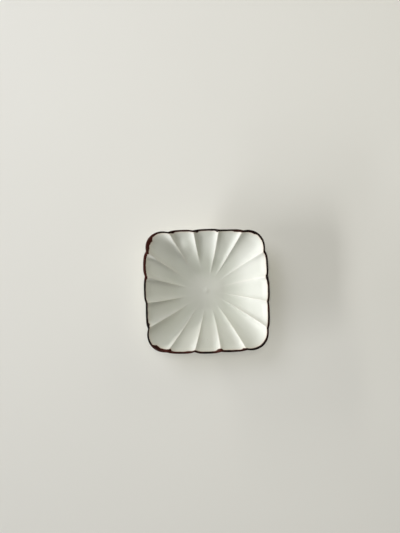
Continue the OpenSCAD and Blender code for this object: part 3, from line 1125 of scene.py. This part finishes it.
class DISH_OT_outside_glaze(bpy.types.Operator):
    """Make the white glaze on the outside wall and inside the foot ring"""

    bl_idname = "soy_dish.outside_glaze"
    bl_label = "Outside Glaze"

    def execute(self, context):
        scene = context.scene
        form = dish_form(scene)
        front_shares = form.outside_edge * ring_shares(OUTSIDE_RINGS, 1, 0)
        back_shares = form.outside_edge * ring_shares(BACK_RINGS)
        rings = np.concatenate([form.outside(back_shares, GLAZE_DEPTH), form.outside(front_shares)])
        wall, wall_faces = closed_loft(rings)
        wall = wobbled(wall, scene.dish_sizes.wobble)
        pool, pool_faces = self.foot_pool(scene.dish_foot)
        pool = wobbled(pool, FOOT_POOL_WOBBLE_SHARE * scene.dish_sizes.wobble)
        points = np.concatenate([wall, pool])
        faces = wall_faces + [[i + len(wall) for i in face] for face in pool_faces]
        values = self.coat_values(form, np.concatenate([back_shares, front_shares]), len(pool))
        material = white_glaze_material(scene.dish_finish)
        new_piece("outside_white_glaze", points, faces, material, "outside_glaze", values)
        return {"FINISHED"}

    def foot_pool(self, foot):
        """The glaze inside the foot ring, a rounded square that thins out to a round edge."""
        radius = foot.corner - foot.land - foot_flare(foot) - foot.glaze_gap
        edge_round = GLAZE_DEPTH * FOOT_POOL_ROUND_SHARE
        centres, outward = rounded_square_stations(foot_core(foot))
        rings = []
        for bend in np.linspace(0, QUARTER, FOOT_POOL_EDGE_STEPS + 1):
            places = centres + (radius - edge_round * (1 - math.cos(bend))) * outward
            rings.append(level_ring(places, FOOT_TOP_Z - GLAZE_DEPTH * math.sin(bend)))
        rim = rings[-1][:, :2]
        for share in np.linspace(1, FOOT_POOL_MIDDLE_SHARE, FOOT_POOL_RINGS + 1)[1:]:
            rings.append(level_ring(rim * share, UNDERSIDE_Z))
        return capped_loft(np.array(rings), (0, 0, FOOT_TOP_Z), (0, 0, UNDERSIDE_Z))

    def coat_values(self, form, shares, pool_points):
        """Where the coat thins over petals, pools, and is stained by the iron glaze, at each point."""
        thinned = smooth(BACK_THIN_START_SHARE, BACK_THIN_END_SHARE, shares)
        heel_pool = HEEL_POOL_SHARE * (1 - smooth(0, HEEL_POOL_END_SHARE, shares))
        away = (form.outside_edge - shares) * form.half
        plain = np.zeros(pool_points)
        return {
            "ridge": np.append(BACK_THIN_SHARE * thinned * form.swing**BACK_THIN_POWER, plain),
            "pool": np.append(heel_pool, plain + FOOT_POOL_SHARE),
            "bleed": np.append(np.exp(-away / OUTSIDE_STAIN), plain),
        }


class DISH_OT_lip_glaze(bpy.types.Operator):
    """Make the iron-brown glaze over the lip, with its hand-brushed edge"""

    bl_idname = "soy_dish.lip_glaze"
    bl_label = "Lip Glaze"

    def execute(self, context):
        scene = context.scene
        form = dish_form(scene)
        inner = mix(form.inside_edge, 1, ring_shares(BAND_RINGS))
        outer = mix(form.outside_edge, 1, ring_shares(BAND_RINGS, 1, 0))
        arc = ring_shares(LIP_STEPS + 1)[1:-1]
        front = [form.inside(inner), form.lip(arc), form.outside(outer)]
        back = [form.inside(inner, GLAZE_DEPTH), form.lip(arc, GLAZE_DEPTH), form.outside(outer, GLAZE_DEPTH)]
        rings = np.concatenate([np.concatenate(front), np.concatenate(back)[::-1]])
        points, faces = closed_loft(rings)
        points = wobbled(points, scene.dish_sizes.wobble)
        thin_inside = np.exp(-(inner - form.inside_edge) * form.half / IRON_EDGE)
        thin_outside = np.exp(-(outer - form.outside_edge) * form.wall_run / IRON_EDGE)
        thick = np.zeros((len(arc), rings.shape[1]))
        thin = np.concatenate([thin_inside, thick, thin_outside])
        rust = np.broadcast_to(marks_at(form.angle, RUST_MARKS, RUST_SOFTNESS), rings.shape[:2])
        values = {"thin": np.append(thin, thin[::-1]), "rust": rust.ravel()}
        material = iron_glaze_material(scene.dish_finish)
        new_piece("lip_iron_glaze", points, faces, material, "lip_glaze", values)
        return {"FINISHED"}


class DISH_OT_stage(bpy.types.Operator):
    """Set out the table, the light and the camera"""

    bl_idname = "soy_dish.stage"
    bl_label = "Table, Light and Camera"

    def execute(self, context):
        scene = context.scene
        stage = scene.dish_stage
        self.make_floor(scene, stage)
        self.make_lamps(scene, stage)
        self.make_world(scene, stage)
        self.make_camera(scene, stage)
        scene.view_settings.view_transform = "Standard"
        return {"FINISHED"}

    def make_floor(self, scene, stage):
        """A wide round pale table."""
        turns = np.arange(TABLE_STEPS) * FULL_TURN / TABLE_STEPS
        edge = [(stage.floor_radius * math.cos(a), stage.floor_radius * math.sin(a), 0) for a in turns]
        mesh = bpy.data.meshes.new("table")
        mesh.from_pydata(edge, [], [range(TABLE_STEPS)])
        mesh.materials.append(floor_material(stage))
        table = bpy.data.objects.new("table", mesh)
        scene.collection.objects.link(table)

    def make_lamps(self, scene, stage):
        """Window light from the left, and room light from above and behind."""
        for name, azimuth, elevation, far, slide, width, height, level, warmth in LAMPS:
            lamp = bpy.data.lights.new(name, "AREA")
            # At level 1 a small lamp brings a white face that looks at it to white, however far away it is
            lamp.energy = stage.lamp_level * level * (math.pi * far) ** 2
            lamp.color = [mix(cool, warm, warmth) for cool, warm in zip(stage.cool, stage.warm)]
            lamp.shape = "RECTANGLE"
            lamp.size = width
            lamp.size_y = height
            around = math.radians(azimuth)
            up = math.radians(elevation)
            towards = Vector((math.cos(up) * math.cos(around), math.cos(up) * math.sin(around), math.sin(up)))
            holder = bpy.data.objects.new(name, lamp)
            holder.location = towards * far + slide * Vector((-math.sin(around), math.cos(around), 0))
            holder.rotation_euler = (-towards).to_track_quat("-Z", "Y").to_euler()
            holder.visible_camera = False
            scene.collection.objects.link(holder)

    def make_world(self, scene, stage):
        """A faint sky for light, and a pale room where the eye, a mirror or a glass sees past the table."""
        world = bpy.data.worlds.new("pale_sky")
        world.use_nodes = True
        nodes = NodeWiring(world.node_tree)
        rays = nodes.add("ShaderNodeLightPath").outputs
        seen = nodes.plus(rays["Is Camera Ray"], rays["Is Glossy Ray"])
        seen = nodes.plus(seen, rays["Is Transmission Ray"], clamp=True)
        sky = nodes.add("ShaderNodeBackground", {"Color": rgba(stage.sky)}).outputs[0]
        backdrop = nodes.add("ShaderNodeBackground", {"Color": rgba(stage.backdrop)}).outputs[0]
        both = nodes.add("ShaderNodeMixShader", {0: seen, 1: sky, 2: backdrop}).outputs[0]
        nodes.add("ShaderNodeOutputWorld", {"Surface": both})
        scene.world = world

    def make_camera(self, scene, stage):
        """A camera almost straight above the dish."""
        lens = bpy.data.cameras.new("overhead")
        lens.lens = stage.lens
        lens.sensor_width = SENSOR_WIDTH
        lens.clip_start = NEAREST_SIGHT
        camera = bpy.data.objects.new("overhead", lens)
        camera.location = (*stage.camera_offset, stage.camera_height)
        camera.rotation_euler = (stage.camera_tilt, 0, stage.camera_turn)
        scene.collection.objects.link(camera)
        scene.camera = camera


class DISH_PT_sidebar(bpy.types.Panel):
    """The dish's sizes, finishes and pieces"""

    bl_idname = "DISH_PT_sidebar"
    bl_label = "Soy Dish"
    bl_space_type = "VIEW_3D"
    bl_region_type = "UI"
    bl_category = "Soy Dish"

    def draw(self, context):
        for group in GROUPS:
            box = self.layout.box()
            settings = getattr(context.scene, group)
            for key in settings.bl_rna.properties.keys():
                if key not in ("rna_type", "name"):
                    box.prop(settings, key)
        for operator in OPERATORS:
            self.layout.operator(operator.bl_idname)


GROUPS = {
    "dish_sizes": DishSizes,
    "dish_foot": FootSizes,
    "dish_finish": GlazeFinish,
    "dish_stage": StageSettings,
}
OPERATORS = (
    DISH_OT_body,
    DISH_OT_foot,
    DISH_OT_inside_glaze,
    DISH_OT_outside_glaze,
    DISH_OT_lip_glaze,
    DISH_OT_stage,
)


def register():
    """Add the settings, the operators and the panel."""
    for cls in (*GROUPS.values(), *OPERATORS, DISH_PT_sidebar):
        bpy.utils.register_class(cls)
    for key, group in GROUPS.items():
        setattr(bpy.types.Scene, key, bpy.props.PointerProperty(type=group))


def unregister():
    """Take the settings, the operators and the panel away again."""
    for key in GROUPS:
        delattr(bpy.types.Scene, key)
    for cls in reversed((*GROUPS.values(), *OPERATORS, DISH_PT_sidebar)):
        bpy.utils.unregister_class(cls)


def main():
    """Make every piece and the stage."""
    register()
    bpy.ops.soy_dish.body()
    bpy.ops.soy_dish.foot()
    bpy.ops.soy_dish.inside_glaze()
    bpy.ops.soy_dish.outside_glaze()
    bpy.ops.soy_dish.lip_glaze()
    bpy.ops.soy_dish.stage()


if __name__ == "__main__":
    main()
